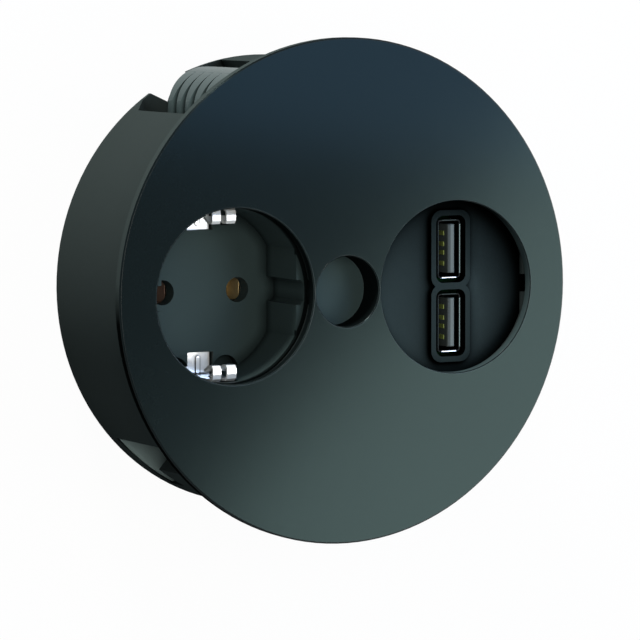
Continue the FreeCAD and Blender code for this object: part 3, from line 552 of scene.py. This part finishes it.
def flared_lip(name, middle, outward, reach, half, top, finish):
    """Flared tab at the mouth of a metal shell: a quarter round rolled outwards.

    Across the tab the angle a runs from 0 to 80 degrees. The sheet lies at the distance reach +
    r (1 - cos a) from the middle and at the height top - r (1 - sin a), and its back one sheet
    thickness further along the roll's radius. The section is carried along the side by 2 half.
    """
    roll, sheet, steps = 0.35 * MM, 0.06 * MM, 9
    angle = np.radians(np.linspace(0.0, 80.0, steps))
    front = np.stack([reach + roll * (1 - np.cos(angle)), top - roll * (1 - np.sin(angle))], 1)
    behind = np.stack([reach + roll - (roll - sheet) * np.cos(angle),
                       top - roll + (roll - sheet) * np.sin(angle)], 1)
    section = np.concatenate([front, behind[::-1]])
    side = np.array([-outward[1], outward[0]])
    rows = [np.column_stack([middle + outward * section[:, :1] + side * at, section[:, 1]])
            for at in (-half, half)]
    count = len(section)
    index = np.arange(count)
    after = (index + 1) % count
    walls = np.stack([index, after, after + count, index + count], 1).tolist()
    ends = [index[::-1].tolist(), (index + count).tolist()]
    mesh = bpy.data.meshes.new(name)
    mesh.from_pydata(np.concatenate(rows).tolist(), [], walls + ends)
    work = bmesh.new()
    work.from_mesh(mesh)
    bmesh.ops.triangulate(work, faces=[f for f in work.faces if len(f.verts) > 4], ngon_method="EAR_CLIP")
    bmesh.ops.recalc_face_normals(work, faces=work.faces)
    work.to_mesh(mesh)
    work.free()
    smooth_between_edges(mesh, math.radians(35))
    mesh.materials.append(finish)
    piece = bpy.data.objects.new(name, mesh)
    scene.collection.objects.link(piece)
    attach(piece, "base")


def shell_lips():
    """Four flared tabs on the mouth of each metal shell, placed from the shells' own bounds."""
    inset, proud, corner = 0.3 * MM, 0.12 * MM, 0.75 * MM
    for node in ("usb_shell_upper", "usb_shell_lower"):
        mesh = frame["nodes"][node].data
        spots = np.empty(len(mesh.vertices) * 3)
        mesh.vertices.foreach_get("co", spots)
        low, high = spots.reshape(-1, 3).min(0), spots.reshape(-1, 3).max(0)
        middle, half = (low[:2] + high[:2]) / 2, (high[:2] - low[:2]) / 2 - inset
        # The bottom tabs are bright nickel, the others dim steel: a painted highlight on the bottom tabs.
        for label, outward, finish in (("left", (-1.0, 0.0), lip_steel), ("right", (1.0, 0.0), lip_steel),
                                       ("top", (0.0, 1.0), lip_steel), ("bottom", (0.0, -1.0), nickel)):
            along = 0 if outward[1] else 1
            flared_lip(node + "_lip_" + label, middle, np.array(outward), half[1 - along],
                       half[along] - corner, high[2] + proud, finish)


def pale_floor():
    """Large floor under the part: white to the camera where it is lit, shaded under the part."""
    half, gap, glow_share = 3, 0.2 * MM, 0.965
    mesh = bpy.data.meshes.new("floor")
    low = cad_box[0][2] - gap
    corners = [(-half, -half, low), (half, -half, low), (half, half, low), (-half, half, low)]
    mesh.from_pydata(corners, [], [(0, 1, 2, 3)])
    floor = bpy.data.objects.new("floor", mesh)
    scene.collection.objects.link(floor)
    material, nodes, links, shader = shader_material("floor_white")
    shader.inputs["Base Color"].default_value = (0.50, 0.50, 0.50, 1)
    shader.inputs["Roughness"].default_value = 0.9
    shader.inputs["Specular IOR Level"].default_value = 0.1
    glow = nodes.new("ShaderNodeEmission")
    glow.inputs["Color"].default_value = (1, 1, 1, 1)
    mix = nodes.new("ShaderNodeMixShader")
    share = math_node(nodes, links, "MULTIPLY", seen_plainly(nodes, links), glow_share)
    links.new(share, mix.inputs["Fac"])
    links.new(shader.outputs[0], mix.inputs[1])
    links.new(glow.outputs[0], mix.inputs[2])
    out = next(n for n in nodes if n.bl_idname == "ShaderNodeOutputMaterial")
    links.new(mix.outputs[0], out.inputs["Surface"])
    mesh.materials.append(material)


# Scene

set_camera()
set_world()
soft_lamp("key_box", place=(0.465, -0.149, 0.60), aim=(0.237, 0.155, 0), edge=(0.707, 0.707, 0),
          size=0.26, power=2.6, colour=(1.0, 1.0, 0.94))
soft_lamp("top_box", place=(0.297, 0.164, 0.3425), aim=(0, 0.02, 0), edge=(0.992, 0.125, 0),
          size=0.346, power=1.82, colour=(0.4265, 0.6252, 1.0))
soft_lamp("side_box", place=(-0.19, 0.55, 0.06), aim=(-0.03, 0.02, -0.02), edge=(0.94, 0.34, 0),
          size=0.13, power=8.0, colour=(1.0, 1.0, 0.96))
soft_lamp("front_box", place=(-0.33, 0.09, 0.82), aim=(0, 0, 0), edge=(1, 0, 0),
          size=0.5, power=4.5, colour=(1.0, 1.0, 0.92))

for node, thing in frame["nodes"].items():
    if node in SOFT_EDGES:
        dressed = soft_edged(node, SOFT_EDGES[node])
        if node == "swivel_cover":
            cover_painted_light(dressed)
    else:
        thing.data.materials.clear()
        thing.data.materials.append(FINISH[node])

shell_lips()
pale_floor()
scene.view_settings.view_transform = "Standard"
